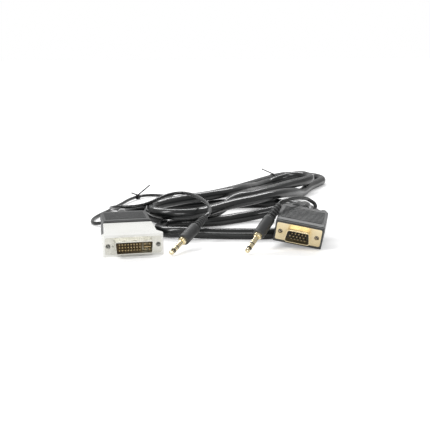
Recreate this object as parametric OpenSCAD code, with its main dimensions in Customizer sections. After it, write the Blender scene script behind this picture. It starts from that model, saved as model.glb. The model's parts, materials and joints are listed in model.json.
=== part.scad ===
// Monitor cable with a VGA plug and an audio jack on each end, a DVI adapter on the left plug.
// Origin: centre of the adapter's underside, DVI face toward -Y, resting on z = 0.

/* [Adapter] */
// Width of the adapter's front flange
flange_w = 40; // [36:0.5:44]
// Height of the adapter
adapter_h = 14.6; // [13.6:0.2:17]
// Length of the adapter from flange to rear face
adapter_l = 36; // [34:0.5:44]
// Width of the block behind the flange
block_w = 33.5; // [33:0.5:36]
// Thickness of the flange at its edge
flange_t = 4; // [2:0.5:6]
// Length of the sloped shoulder behind the flange
shoulder_l = 6; // [2:0.5:9]
// Plan corner radius of the adapter
adapter_corner = 1.2; // [0.5:0.1:2]
// Wall between the block's cavity and its underside or top
adapter_wall = 2.2; // [1.5:0.1:2.6]
// Depth of the recess that takes the VGA plug's shell
socket_recess = 6.2; // [6:0.1:7]

/* [DVI plug] */
// Width of the nickel plate
dvi_plate_w = 37; // [35:0.5:38]
// Height of the nickel plate
dvi_plate_h = 11.4; // [10.5:0.1:12]
// Thickness of the nickel plate
dvi_plate_t = 0.8; // [0.5:0.1:1.2]
// Depth of the pocket that the plate lies in
dvi_pocket = 1; // [0.8:0.1:1.6]
// Distance between the plate's screw holes
dvi_hole_gap = 33; // [32:0.1:34]
// Diameter of the plate's screw holes
dvi_hole_d = 3.2; // [2.8:0.1:3.4]
// Depth of the screw holes in the housing
dvi_hole_depth = 7; // [4:0.5:9]
// Outer width of the DVI shell
dvi_shell_w = 24; // [23.4:0.1:25]
// Outer height of the DVI shell
dvi_shell_h = 8.4; // [8:0.1:9]
// How far the DVI shell stands out of the flange's front
dvi_shell_out = 6.5; // [5:0.1:8]
// Wall of the DVI shell
dvi_shell_wall = 0.5; // [0.3:0.05:0.7]
// Pitch of the signal contacts
dvi_pitch = 1.905; // [1.8:0.005:1.95]
// Rows of signal contacts
dvi_rows = 3; // [1:1:3]
// Signal contacts in a row
dvi_columns = 8; // [1:1:8]
// Side of a signal contact
dvi_contact = 0.8; // [0.5:0.05:1]
// How far the contacts end behind the shell's rim
contact_inset = 1.6; // [1:0.1:2.5]
// Width of the ground blade
blade_w = 4.6; // [3:0.1:4.8]
// Thickness of the ground blade
blade_t = 0.6; // [0.4:0.05:0.8]
// Sideways distance between two analogue contacts
analog_gap_x = 3; // [2.6:0.1:3.4]
// Upright distance between two analogue contacts
analog_gap_z = 3.6; // [3:0.1:4]

/* [VGA plug] */
// Width of the moulded hood
hood_w = 33; // [32.4:0.2:36]
// Height of the hood
hood_h = 15.4; // [14.4:0.2:18]
// Length of the hood
hood_l = 33; // [30:0.5:40]
// Radius of the hood's rear corners in plan
hood_corner = 4; // [2:0.2:5]
// Width of the gold plate
vga_plate_w = 30.8; // [30.4:0.1:31.2]
// Height of the gold plate
vga_plate_h = 12.4; // [11.6:0.1:13]
// Thickness of the gold plate
vga_plate_t = 0.8; // [0.5:0.1:1]
// Depth of the recess round the gold plate
plate_recess = 1; // [0.8:0.1:1.4]
// Outer width of the plug's shell
vga_shell_w = 17; // [16.6:0.1:17.6]
// Outer height of the plug's shell
vga_shell_h = 8.6; // [8.2:0.1:9]
// Wall of the plug's shell
vga_shell_wall = 0.45; // [0.3:0.05:0.6]
// How far the plug's shell stands out of the hood's face
vga_shell_out = 5.8; // [5:0.1:6]
// Pitch of the pins in a row
vga_pitch = 2.29; // [2.1:0.01:2.4]
// Distance between two rows of pins
vga_row_gap = 1.98; // [1.8:0.01:2.1]
// Diameter of a pin
vga_pin_d = 0.76; // [0.6:0.02:0.84]
// Height of the slot that the inner mould fills
mould_h = 10.4; // [9:0.2:11.4]
// Width of the inner mould
mould_w = 17.6; // [14:0.2:18]

/* [Thumbscrews] */
// Distance between the two thumbscrews
screw_gap = 24.99; // [24.9:0.01:25.1]
// Diameter of the thread
screw_d = 2.8; // [2.6:0.05:3]
// Diameter of the channel that each screw slides in
channel_d = 5.2; // [4.8:0.1:5.4]
// Width of the ring clip on the screw
clip_t = 1; // [0.6:0.1:1.5]
// How far a screw slides forward
screw_travel = 5; // [3:0.5:6]
// Diameter of the thumbscrew's knob
knob_d = 6.6; // [6:0.2:7]
// Length of the knob
knob_l = 8; // [6:0.5:10]
// Grooves round the knob
knob_grooves = 12; // [8:1:16]

/* [Boot and gland] */
// Diameter of the boot where it leaves the hood
boot_d = 9.8; // [9:0.1:10]
// Length of the boot
boot_l = 14; // [10:0.5:18]
// Grooves round the boot
boot_grooves = 4; // [0:1:5]
// Diameter of the audio lead's gland at the hood
gland_d = 4.4; // [3.6:0.1:4.6]
// Length of the gland
gland_l = 6; // [4:0.5:8]

/* [Jack plug] */
// Diameter of the jack's pin
pin_d = 3.5; // [3.4:0.05:3.6]
// Length of the jack's pin
pin_l = 14.5; // [14:0.1:15]
// Diameter of the gold shoulder collar
collar_d = 5.6; // [5:0.1:6]
// Length of the collar
collar_l = 2.2; // [1.5:0.1:3]
// Diameter of the moulded barrel
barrel_d = 8; // [7:0.1:9]
// Length of the barrel
barrel_l = 16; // [13:0.5:20]
// Length of the strain relief
relief_l = 15; // [10:0.5:18]
// Ribs of the left jack's strain relief
relief_ribs = 7; // [3:1:9]

/* [Cables] */
// Diameter of the main cable
cable_d = 8; // [7:0.1:8]
// Diameter of the audio leads
lead_d = 2.6; // [2.2:0.1:2.8]
// Fold radius of the hank at its left end
fold_r = 23.5; // [22:0.5:24]
// Height that the hank's upper layer lies above its lower one
layer_rise = 8.6; // [8.5:0.1:10]

/* [Ties] */
// Width of a twist tie's strip
tie_w = 2.8; // [2:0.1:4]
// Thickness of the strip
tie_t = 0.6; // [0.4:0.05:0.8]

/* [Hidden] */
// Running clearance of a moving fit, and the play of pieces that are pressed together
run_gap = 0.1;
seat_gap = 0.02;
// Overrun of every cut
over = 1;
// Sides of a free cable's tube and of the hank's tube
tube_sides = 8;
hank_sides = 6;

// The adapter and the DVI plug in it
adapter_zc = adapter_h / 2;
front_y = -adapter_l / 2;
rear_y = adapter_l / 2;
dvi_shell_r = 1.2;
dvi_shell_slant = 0.9;
dvi_insert_l = 9;
dvi_insert_gap = 0.1;
dvi_rim_y = front_y - dvi_shell_out;
dvi_plate_y = front_y + dvi_pocket - dvi_plate_t;
contact_y = dvi_rim_y + contact_inset;
contact_l = 14;
pin_side_gap = 1.53;
blade_gap = 2.135;
blade_side_gap = 0.6;
dvi_inner_w = dvi_shell_w - 2 * dvi_shell_wall;
pins_w = (dvi_columns - 1) * dvi_pitch + dvi_contact;
dvi_fit = dvi_inner_w / (pin_side_gap + pins_w + blade_gap + blade_w + blade_side_gap);
pins_centre_x = (pin_side_gap + pins_w / 2) * dvi_fit - dvi_inner_w / 2;
blade_x = dvi_inner_w / 2 - (blade_side_gap + blade_w / 2) * dvi_fit;
analog_d = 0.9;
dot_d = 1;
dot_x = -(dvi_shell_w / 2 + (dvi_hole_gap - dvi_hole_d - dvi_shell_w) / 4);
board_t = 1.2;
board_w = 25;
board_play = 0.4;
cavity_side = 1.5;
adapter_cavity_w = dvi_shell_w + 2 * cavity_side;
socket_zc = hood_h / 2;
socket_y = rear_y - socket_recess;
recess_side = 0.3;
socket_recess_w = vga_plate_w + 2 * recess_side;
socket_recess_h = vga_plate_h + 2 * run_gap;
socket_plate_t = 0.5;
socket_shell_l = 5.5;
socket_shell_w = vga_shell_w - 2 * vga_shell_wall - 2 * run_gap;
socket_shell_h = vga_shell_h - 2 * vga_shell_wall - 2 * run_gap;
socket_insert_l = 8;
socket_insert_wall = 0.4;
sleeve_d = 1.5;
sleeve_l = 6;
nut_across = 5;
nut_l = 4.6;
board_y0 = contact_y + contact_l + board_play;
socket_insert_y = socket_y + socket_plate_t + socket_shell_l - socket_insert_l;
board_gap = 1.5;
board_y1 = socket_insert_y - board_gap;

// The VGA plug
hood_zc = hood_h / 2;
front_corner = 0.6;
vga_shell_r = 1.6;
vga_slant = 0.8;
plate_r = 1.2;
insert_front = 0.9;
insert_l = 5.6;
pin_inset = 1;
pin_tail = 0.6;
rear_wall = 4;
screw_play = 0.2;
screw_hole_d = screw_d + 2 * screw_play;
chamber_gap = 0.3;
screw_tip_y = 0.9;
clip_y = hood_l / 2 - clip_t / 2;
neck_d = 2.1;
knob_gap = 0.5;
knob_y = hood_l + screw_travel + knob_gap;
groove_d = 0.9;
groove_bite = 0.25;
boot_x = 2;
gland_x = 5.6;
sheath_wall = 0.4;
boot_tip_d = cable_d + 2 * sheath_wall;
boot_groove_w = 1.2;
boot_groove_depth = 0.5;
gland_tip_d = lead_d + 2 * sheath_wall;

// The right plug lies tilted on the cable
right_pos = [110.5, -21.6, 2.55];
right_yaw = -24.6;
right_pitch = 8.3;
right_roll = 9;
left_pos = [0, rear_y + 0.5, 0];

// The jack plugs
tip_l = 3.6;
band_l = 0.7;
ring_l = 3;
tip_flat_d = 1;
tip_nose_share = 0.62;
tip_nose_at_share = 0.08;
tip_cone_share = 0.9;
tip_cone_at_share = 0.3;
tip_widest_at_share = 0.55;
tip_waist_at_share = 0.85;
waist_d = 2.6;
barrel_y = pin_l + collar_l;
relief_y = barrel_y + barrel_l;
relief_root_d = 6;
relief_tip_d = 4.2;
relief_core_d = lead_d + sheath_wall;
relief_fill = 0.55;
left_jack_pos = [23.5, -23.9, 1.9];
left_jack_az = 47.7;
left_jack_el = 19.7;
right_jack_pos = [73.2, -30.5, 1.9];
right_jack_az = 42;
right_jack_el = 32;

// Twist ties
tie_play = 0.1;
tie_wire_d = 1.1;
hank_tails = [[75, 14]];
lead_tails = [[52, 16], [-80, 7]];

// The hank: two loops, each with its own left fold and tip
low_z = cable_d / 2;
high_z = low_z + layer_rise;
tie_z = low_z + tie_play + tie_t;
left_fold = [47, 88.5];
outer_r = 33.5;
upper_fold = [45, 66];
upper_fold_r = 22;
inner_tip = [164.5, 178];
inner_tip_r = 21;
inner_end_z = 5.5;
outer_tip = [187, 212];
outer_tip_r = 22;
near_bow = 3;
outer_near_bow = 15;
far_bow = 16;
outer_far_bow = 8;
near_shares = [0.1, 0.27];
far_shares = [0.05, 0.5];
outer_near_shares = [0.5, 0.68];
outer_far_shares = [0.2, 1];
fold_shares = [0, 1];
droop_shares = [0.4, 1];
lift_shares = [0.7, 1];
start_heading = 176;
lead_in = cable_d;
fold_steps = 9;
run_steps = 7;

// Free stretch from the right plug's boot to the hank
right_route = [
    [134, 31, 17], [134.5, 45, 14], [125, 57.5, 10], [108, 63.5, 5.8], [90, 61, 4], [70, 54, 4],
    [52, 53.5, 4], [37, 52.5, 4], [26.5, 43, 4], [27.5, 29, 4.2], [42, 19, 5], [60, 16.5, 4],
    [80, 11, 4], [100, 7.8, 4], [118, 12, 4], [134, 22.5, 4], [146, 38, 4], [152, 56, 4], [153.5, 75, 4],
    [149, 95, 4], [134, 107, 4], [117, 112, 4], [98, 115, 4], [80, 113.5, 4]];
// Free stretch from the hank to the left plug's boot
left_route = [[11, 104, 4.2], [4.5, 92.5, 5.2], [2.2, 81, 6.8], [2, 73, 7.7]];
// Left audio lead, from its gland to its jack plug
left_lead_route = [
    [-6.5, 64, 7], [-10, 69, 4.6], [-16, 72, 2.4], [-20, 78, 1.4], [-20, 88, 1.4], [-15, 102, 1.4],
    [-5, 119, 1.6], [7, 140, 2.2], [19, 161, 2.6], [30, 173, 2.2], [41, 176, 1.6], [51, 170, 1.4],
    [60, 160, 1.4], [63, 150, 1.4], [57, 141, 1.4], [45, 137, 1.4], [32, 134, 1.4], [19, 126, 1.4],
    [8, 116, 2.4], [-1, 106, 5.5], [-5, 94, 9], [-5, 82, 12], [-1, 72, 14.5], [7, 66.5, 15.3],
    [15, 66, 16], [23, 69, 17.4], [31, 75, 19.2], [39, 80, 20.6], [47, 80, 21.6], [53, 72, 22.2],
    [56.5, 60, 22.6], [58.5, 46, 22.6], [59.8, 32, 21.8], [58.5, 18, 19.6]];
// Right audio lead, from its gland to its jack plug
right_lead_route = [
    [136, 18, 17.4], [138, 21.5, 20], [134, 21.5, 23.6], [126.5, 15.5, 27], [117, 7.5, 28.8], [109, 1.2, 29.1]];
// Segment of the left lead on which the small tie sits
lead_tie_at = 10;

// Outlines: a rectangle with rounded corners, and the slanted one of a D-shell, wide side down
function corner(c, r, a) = [for (i = [0:4]) c + r * [cos(a + i * 22.5), sin(a + i * 22.5)]];
function rounded(w, h, r) = concat(
    corner([w / 2 - r, h / 2 - r], r, 0), corner([r - w / 2, h / 2 - r], r, 90),
    corner([r - w / 2, r - h / 2], r, 180), corner([w / 2 - r, r - h / 2], r, 270));
function d_outline(w, h, r, slant) = concat(
    corner([w / 2 - r - slant, h / 2 - r], r, 0), corner([r + slant - w / 2, h / 2 - r], r, 90),
    corner([r - w / 2, r - h / 2], r, 180), corner([w / 2 - r, r - h / 2], r, 270));
// Plan of a hood: small corners at the front, large ones at the rear
function hood_plan() = concat(
    corner([hood_w / 2 - hood_corner, hood_l - hood_corner], hood_corner, 0),
    corner([hood_corner - hood_w / 2, hood_l - hood_corner], hood_corner, 90),
    corner([front_corner - hood_w / 2, front_corner], front_corner, 180),
    corner([hood_w / 2 - front_corner, front_corner], front_corner, 270));

// A flat outline in X and Z pushed along Y, and a round bar along Y
module along_y(y0, y1, z = 0) {
    translate([0, y1, z]) rotate([90, 0, 0]) linear_extrude(y1 - y0) children();
}
module bar_y(d, y0, y1, x = 0, z = 0) {
    translate([x, y1, z]) rotate([90, 0, 0]) cylinder(d = d, h = y1 - y0, $fn = 48);
}
module block(w, h, y0, y1, z = 0) {
    translate([-w / 2, y0, z - h / 2]) cube([w, y1 - y0, h]);
}

// Places of the 15 contacts of a VGA plug: three rows of five, the middle row shifted
function vga_places() = [for (row = [-1:1], i = [-2:2])
    [i * vga_pitch + (row == 0 ? -vga_pitch / 4 : vga_pitch / 4), row * vga_row_gap]];
function dvi_places() = [for (row = [0:dvi_rows - 1], i = [0:dvi_columns - 1])
    [pins_centre_x + (i - (dvi_columns - 1) / 2) * dvi_pitch * dvi_fit,
     (row - (dvi_rows - 1) / 2) * dvi_pitch]];

// Turning of points, in the order that rotate() uses
function turn_x(p, a) = [p[0], p[1] * cos(a) - p[2] * sin(a), p[1] * sin(a) + p[2] * cos(a)];
function turn_y(p, a) = [p[0] * cos(a) + p[2] * sin(a), p[1], -p[0] * sin(a) + p[2] * cos(a)];
function turn_z(p, a) = [p[0] * cos(a) - p[1] * sin(a), p[0] * sin(a) + p[1] * cos(a), p[2]];
function at_right(p) = right_pos + turn_z(turn_x(turn_y(p, right_roll), right_pitch), right_yaw);
function at_left(p) = left_pos + p;
function at_jack(p, pos, az, el) = pos + turn_z(turn_x(p, el), az - 90);
module place_left() { translate(left_pos) children(); }
module place_right() {
    translate(right_pos) rotate([0, 0, right_yaw]) rotate([right_pitch, 0, 0])
        rotate([0, right_roll, 0]) children();
}
module place_left_jack() {
    translate(left_jack_pos) rotate([0, 0, left_jack_az - 90]) rotate([left_jack_el, 0, 0]) children();
}
module place_right_jack() {
    translate(right_jack_pos) rotate([0, 0, right_jack_az - 90]) rotate([right_jack_el, 0, 0])
        children();
}

// Tube swept along points: one ring of corners at each, square to the path
function unit(v) = v / norm(v);
function heading(p, i) = unit(p[min(i + 1, len(p) - 1)] - p[max(i - 1, 0)]);
function ring_at(p, i, r, n) =
    let (t = heading(p, i), s = unit(cross(t, [0, 0, 1])), u = cross(s, t))
    [for (k = [0:n - 1]) p[i] + r * (cos((k + 0.5) * 360 / n) * s + sin((k + 0.5) * 360 / n) * u)];
module tube(p, d, n) {
    m = len(p);
    corners = concat([for (i = [0:m - 1]) each ring_at(p, i, d / 2, n)], [p[0], p[m - 1]]);
    sides = [for (i = [0:m - 2], k = [0:n - 1]) each [
        [i * n + k, i * n + (k + 1) % n, (i + 1) * n + k],
        [i * n + (k + 1) % n, (i + 1) * n + (k + 1) % n, (i + 1) * n + k]]];
    ends = [for (k = [0:n - 1]) each [
        [m * n, (k + 1) % n, k],
        [m * n + 1, (m - 1) * n + k, (m - 1) * n + (k + 1) % n]]];
    polyhedron(points = corners, faces = [for (f = concat(sides, ends)) [f[2], f[1], f[0]]]);
}

// Hank: folds are arcs, runs are common tangents drawn sideways at their waist
function ease(t) = t * t * (3 - 2 * t);
function clamp01(t) = max(0, min(1, t));
function tangent_angle(a, ra, b, rb) =
    atan2(b[1] - a[1], b[0] - a[0]) - asin((rb - ra) / norm(b - a));
function on_fold(c, r, a, z) = [c[0] + r * cos(a), c[1] + r * sin(a), z];
// How far a climb has come at a share of the way: it lies between a first and a last share
function climbed(t, shares) = ease(clamp01((t - shares[0]) / (shares[1] - shares[0])));
function fold(c, r, a0, a1, z0, z1, shares) = [for (i = [0:fold_steps])
    on_fold(c, r, a0 + (a1 - a0) * i / fold_steps, z0 + (z1 - z0) * climbed(i / fold_steps, shares))];
// A run between two points: its side step is largest half way
function run(a, b, bow, shares) = let (d = unit([b[0] - a[0], b[1] - a[1]]))
    [for (i = [1:run_steps - 1]) let (t = i / run_steps, s = bow * pow(sin(180 * t), 2))
        [a[0] + (b[0] - a[0]) * t + s * d[1], a[1] + (b[1] - a[1]) * t - s * d[0],
         a[2] + (b[2] - a[2]) * climbed(t, shares)]];
near_a1 = tangent_angle(left_fold, fold_r, inner_tip, inner_tip_r) - 90;
far_a1 = tangent_angle(inner_tip, inner_tip_r, upper_fold, upper_fold_r) - 90;
near_a2 = tangent_angle(upper_fold, upper_fold_r, outer_tip, outer_tip_r) - 90;
far_a2 = tangent_angle(outer_tip, outer_tip_r, left_fold, outer_r) - 90;
function above(a, b) = a > b ? a : above(a + 360, b);
start_a = start_heading - 90;
fold_1 = fold(left_fold, fold_r, start_a, above(near_a1, start_a), low_z, low_z, fold_shares);
tip_1 = fold(inner_tip, inner_tip_r, near_a1, above(far_a1, near_a1), high_z, inner_end_z, droop_shares);
fold_2 = fold(upper_fold, upper_fold_r, far_a1, above(near_a2, far_a1), high_z, high_z, fold_shares);
tip_2 = fold(outer_tip, outer_tip_r, near_a2, above(far_a2, near_a2), low_z, tie_z, lift_shares);
last_bend = on_fold(left_fold, outer_r, far_a2, low_z);
start_way = [cos(start_heading), sin(start_heading), 0];
end_way = [cos(far_a2 + 90), sin(far_a2 + 90), 0];
hank_start = fold_1[0] - lead_in * start_way;
hank_end = last_bend + lead_in * end_way;
far_run_2 = run(tip_2[fold_steps], last_bend, -outer_far_bow, outer_far_shares);
hank_path = concat([hank_start], fold_1,
    run(fold_1[fold_steps], tip_1[0], near_bow, near_shares), tip_1,
    run(tip_1[fold_steps], fold_2[0], -far_bow, far_shares), fold_2,
    run(fold_2[fold_steps], tip_2[0], outer_near_bow, outer_near_shares), tip_2,
    far_run_2, [last_bend, hank_end]);

// Each free stretch leaves its boot, gland or relief straight, for a length that keeps the end square
boot_y = hood_l + boot_l;
gland_y = hood_l + gland_l;
jack_end_y = relief_y + relief_l;
cable_straight = cable_d / 2;
right_path = concat([for (y = [boot_y, boot_y + cable_straight]) at_right([-boot_x, y, hood_zc])],
    right_route, [hank_start - cable_straight * start_way, hank_start]);
left_path = concat([hank_end, hank_end + cable_straight * end_way], left_route,
    [for (y = [boot_y + cable_straight, boot_y]) at_left([boot_x, y, hood_zc])]);
left_lead_path = concat([for (y = [gland_y, gland_y + lead_d]) at_left([-gland_x, y, hood_zc])],
    left_lead_route, [for (y = [jack_end_y + lead_d, jack_end_y])
        at_jack([0, y, 0], left_jack_pos, left_jack_az, left_jack_el)]);
right_lead_path = concat([for (y = [gland_y, gland_y + lead_d]) at_right([gland_x, y, hood_zc])],
    right_lead_route, [for (y = [jack_end_y + lead_d, jack_end_y])
        at_jack([0, y, 0], right_jack_pos, right_jack_az, right_jack_el)]);

// Lengths, and the hank's least gap to itself, measured on points two steps apart and more
function path_l(p, i = 0) = i >= len(p) - 1 ? 0 : norm(p[i + 1] - p[i]) + path_l(p, i + 1);
function fine(p) = [for (i = [0:len(p) - 2], j = [0:3]) p[i] + (p[i + 1] - p[i]) * j / 4];
hank_points = fine(hank_path);
near_points = 12;
self_gap = min([for (i = [0:len(hank_points) - 1 - near_points],
    j = [i + near_points:len(hank_points) - 1]) norm(hank_points[i] - hank_points[j])]) - cable_d;
echo(hank_least_gap_mm = self_gap);
echo(main_cable_mm = path_l(right_path) + path_l(hank_path) + path_l(left_path),
    left_lead_mm = path_l(left_lead_path), right_lead_mm = path_l(right_lead_path));

// Adapter
module adapter_plan() {
    b = flange_w / 2;
    k = block_w / 2;
    y1 = front_y + flange_t;
    y2 = y1 + shoulder_l;
    polygon(concat(
        [[-k, y2], [-b, y1]], corner([adapter_corner - b, front_y + adapter_corner], adapter_corner, 180),
        corner([b - adapter_corner, front_y + adapter_corner], adapter_corner, 270), [[b, y1], [k, y2]],
        corner([k - adapter_corner, rear_y - adapter_corner], adapter_corner, 0),
        corner([adapter_corner - k, rear_y - adapter_corner], adapter_corner, 90)));
}
module adapter_housing() {
    color([0.96, 0.96, 0.93]) difference() {
        linear_extrude(adapter_h) adapter_plan();
        along_y(front_y - over, front_y + dvi_pocket, adapter_zc)
            polygon(rounded(dvi_plate_w + 2 * seat_gap, dvi_plate_h + 2 * seat_gap, plate_r));
        block(adapter_cavity_w, adapter_h - 2 * adapter_wall, front_y, socket_y + over, adapter_zc);
        along_y(socket_y, rear_y + over, socket_zc)
            polygon(rounded(socket_recess_w, socket_recess_h, plate_r));
        for (x = [-1, 1] * dvi_hole_gap / 2)
            bar_y(dvi_hole_d, front_y - over, front_y + dvi_hole_depth, x, adapter_zc);
    }
}
module dvi_shell() {
    color([0.82, 0.82, 0.78]) difference() {
        union() {
            along_y(dvi_plate_y, front_y + dvi_pocket, adapter_zc)
                polygon(rounded(dvi_plate_w, dvi_plate_h, plate_r));
            along_y(dvi_rim_y, front_y + dvi_pocket, adapter_zc)
                polygon(d_outline(dvi_shell_w, dvi_shell_h, dvi_shell_r, -dvi_shell_slant / 2));
        }
        along_y(dvi_rim_y - over, front_y + dvi_pocket + over, adapter_zc)
            polygon(d_outline(dvi_shell_w - 2 * dvi_shell_wall, dvi_shell_h - 2 * dvi_shell_wall,
                dvi_shell_r - dvi_shell_wall, -dvi_shell_slant / 2));
        for (x = [-1, 1] * dvi_hole_gap / 2)
            bar_y(dvi_hole_d, front_y - over, front_y + dvi_pocket + over, x, adapter_zc);
        bar_y(dot_d, front_y - over, front_y + dvi_pocket + over, dot_x, adapter_zc);
    }
}
module contact_cuts(play) {
    for (p = dvi_places())
        translate([p[0], 0, p[1]]) block(dvi_contact + play, dvi_contact + play,
            contact_y - over, contact_y + contact_l + over);
    for (x = [-1, 1] * analog_gap_x / 2, z = [-1, 1] * analog_gap_z / 2)
        bar_y(analog_d + play, contact_y - over, contact_y + contact_l + over, blade_x + x, z);
    translate([blade_x, 0, 0]) block(blade_w * dvi_fit + play, blade_t + play, contact_y - over,
        contact_y + contact_l + over);
}
module dvi_insulator() {
    gap = 2 * dvi_shell_wall + 2 * dvi_insert_gap;
    color([0.12, 0.12, 0.12]) translate([0, 0, adapter_zc]) difference() {
        along_y(dvi_plate_y, dvi_plate_y + dvi_insert_l)
            polygon(d_outline(dvi_shell_w - gap, dvi_shell_h - gap, dvi_shell_r - dvi_shell_wall,
                -dvi_shell_slant / 2));
        contact_cuts(2 * seat_gap);
    }
}
module dvi_signal_contacts() {
    color([0.6, 0.5, 0.3]) for (p = dvi_places())
        translate([p[0], 0, adapter_zc + p[1]])
            block(dvi_contact, dvi_contact, contact_y, contact_y + contact_l);
}
module dvi_analog_contacts() {
    color([0.6, 0.5, 0.3]) for (x = [-1, 1] * analog_gap_x / 2, z = [-1, 1] * analog_gap_z / 2)
        bar_y(analog_d, contact_y, contact_y + contact_l, blade_x + x, adapter_zc + z);
}
module dvi_ground_blade() {
    color([0.6, 0.5, 0.3]) translate([blade_x, 0, adapter_zc])
        block(blade_w * dvi_fit, blade_t, contact_y, contact_y + contact_l);
}
module adapter_board() {
    color([0.1, 0.35, 0.2]) block(board_w, board_t, board_y0, board_y1, adapter_zc);
}
module adapter_socket_shell() {
    color([0.8, 0.8, 0.78]) translate([0, 0, socket_zc]) difference() {
        union() {
            along_y(socket_y, socket_y + socket_plate_t)
                polygon(rounded(vga_plate_w, vga_plate_h, plate_r));
            along_y(socket_y, socket_y + socket_plate_t + socket_shell_l)
                polygon(d_outline(socket_shell_w, socket_shell_h, vga_shell_r - vga_shell_wall, vga_slant));
        }
        along_y(socket_y - over, rear_y)
            polygon(d_outline(socket_shell_w - 2 * socket_insert_wall,
                socket_shell_h - 2 * socket_insert_wall,
                vga_shell_r - vga_shell_wall - socket_insert_wall, vga_slant));
        for (x = [-1, 1] * screw_gap / 2)
            bar_y(screw_hole_d, socket_y - over, rear_y, x);
    }
}
module adapter_socket_insulator() {
    gap = 2 * socket_insert_wall + 2 * seat_gap;
    color([0.1, 0.2, 0.55]) translate([0, 0, socket_zc]) difference() {
        along_y(socket_insert_y, socket_insert_y + socket_insert_l)
            polygon(d_outline(socket_shell_w - gap, socket_shell_h - gap,
                vga_shell_r - vga_shell_wall - socket_insert_wall, vga_slant));
        for (p = vga_places())
            bar_y(sleeve_d + 2 * seat_gap, socket_insert_y - over,
                socket_insert_y + socket_insert_l + over, p[0], p[1]);
    }
}
module adapter_socket_contacts() {
    color([0.85, 0.7, 0.35]) for (p = vga_places()) translate([p[0], 0, socket_zc + p[1]])
        difference() {
            bar_y(sleeve_d, socket_insert_y, socket_insert_y + socket_insert_l - pin_inset);
            bar_y(vga_pin_d + run_gap, socket_insert_y + socket_insert_l - sleeve_l,
                socket_insert_y + socket_insert_l + over);
        }
}
module adapter_hex_nuts() {
    color([0.78, 0.78, 0.76]) for (x = [-1, 1] * screw_gap / 2)
        translate([x, socket_y + socket_plate_t + nut_l, socket_zc]) rotate([90, 0, 0])
            difference() {
                cylinder(d = nut_across / cos(30), h = nut_l, $fn = 6);
                translate([0, 0, -over]) cylinder(d = screw_hole_d, h = nut_l + 2 * over, $fn = 48);
            }
}

// VGA plug, in its own frame: face at y = 0, +y to the rear, underside at z = 0
module plug_hood(side) {
    color([0.16, 0.16, 0.16]) difference() {
        linear_extrude(hood_h) polygon(hood_plan());
        along_y(-over, plate_recess, hood_zc)
            polygon(rounded(vga_plate_w + 2 * seat_gap, vga_plate_h + 2 * seat_gap, plate_r));
        block(vga_shell_w + 2 * chamber_gap, vga_shell_h + 2 * chamber_gap, 0, insert_l + pin_tail, hood_zc);
        block(mould_w + 2 * seat_gap, mould_h + 2 * seat_gap, 0, hood_l - rear_wall, hood_zc);
        for (x = [-1, 1] * screw_gap / 2) {
            bar_y(channel_d, 0, hood_l - rear_wall, x, hood_zc);
            bar_y(screw_hole_d, 0, hood_l + over, x, hood_zc);
        }
        bar_y(cable_d + 2 * seat_gap, hood_l - rear_wall - over, hood_l + over, -side * boot_x, hood_zc);
        bar_y(lead_d + 2 * seat_gap, hood_l - rear_wall - over, hood_l + over, side * gland_x, hood_zc);
    }
}
module plug_shell() {
    color([0.93, 0.82, 0.5]) translate([0, 0, hood_zc]) difference() {
        union() {
            along_y(plate_recess - vga_plate_t, plate_recess)
                polygon(rounded(vga_plate_w, vga_plate_h, plate_r));
            along_y(-vga_shell_out, plate_recess)
                polygon(d_outline(vga_shell_w, vga_shell_h, vga_shell_r, vga_slant));
        }
        along_y(-vga_shell_out - over, plate_recess + over)
            polygon(d_outline(vga_shell_w - 2 * vga_shell_wall, vga_shell_h - 2 * vga_shell_wall,
                vga_shell_r - vga_shell_wall, vga_slant));
        for (x = [-1, 1] * screw_gap / 2)
            bar_y(screw_hole_d, -over, plate_recess + over, x);
    }
}
module plug_insulator() {
    gap = 2 * vga_shell_wall + 2 * seat_gap;
    color([0.08, 0.08, 0.08]) translate([0, 0, hood_zc]) difference() {
        along_y(insert_front - plate_recess, insert_l)
            polygon(d_outline(vga_shell_w - gap, vga_shell_h - gap, vga_shell_r - vga_shell_wall,
                vga_slant));
        for (p = vga_places())
            bar_y(vga_pin_d + 2 * seat_gap, -vga_shell_out, insert_l + over, p[0], p[1]);
    }
}
module plug_pins() {
    color([0.85, 0.72, 0.4]) for (p = vga_places())
        bar_y(vga_pin_d, pin_inset - vga_shell_out, insert_l + pin_tail, p[0], hood_zc + p[1]);
}
module inner_mould() {
    color([0.75, 0.75, 0.72])
        block(mould_w, mould_h, insert_l + pin_tail, hood_l - rear_wall, hood_zc);
}
// Thumbscrew: a threaded bar with a neck for its ring clip, and a grooved knob behind the hood
module screw(x) {
    color([0.75, 0.75, 0.75]) difference() {
        bar_y(screw_d, screw_tip_y, knob_y + knob_l / 2, x, hood_zc);
        difference() {
            bar_y(screw_d + over, clip_y - run_gap, clip_y + clip_t + run_gap, x, hood_zc);
            bar_y(neck_d, clip_y - over, clip_y + clip_t + over, x, hood_zc);
        }
    }
}
module knob(x) {
    color([0.14, 0.14, 0.14]) difference() {
        bar_y(knob_d, knob_y, knob_y + knob_l, x, hood_zc);
        bar_y(screw_d + 2 * seat_gap, knob_y - over, knob_y + knob_l / 2, x, hood_zc);
        for (i = [0:knob_grooves - 1]) translate([x, 0, hood_zc]) rotate([0, i * 360 / knob_grooves, 0])
            bar_y(groove_d, knob_y - over, knob_y + knob_l + over, knob_d / 2 + groove_d / 2 - groove_bite);
    }
}
module clip(x) {
    color([0.6, 0.6, 0.6]) difference() {
        bar_y(channel_d - 2 * run_gap, clip_y, clip_y + clip_t, x, hood_zc);
        bar_y(neck_d + run_gap, clip_y - over, clip_y + clip_t + over, x, hood_zc);
    }
}
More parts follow.
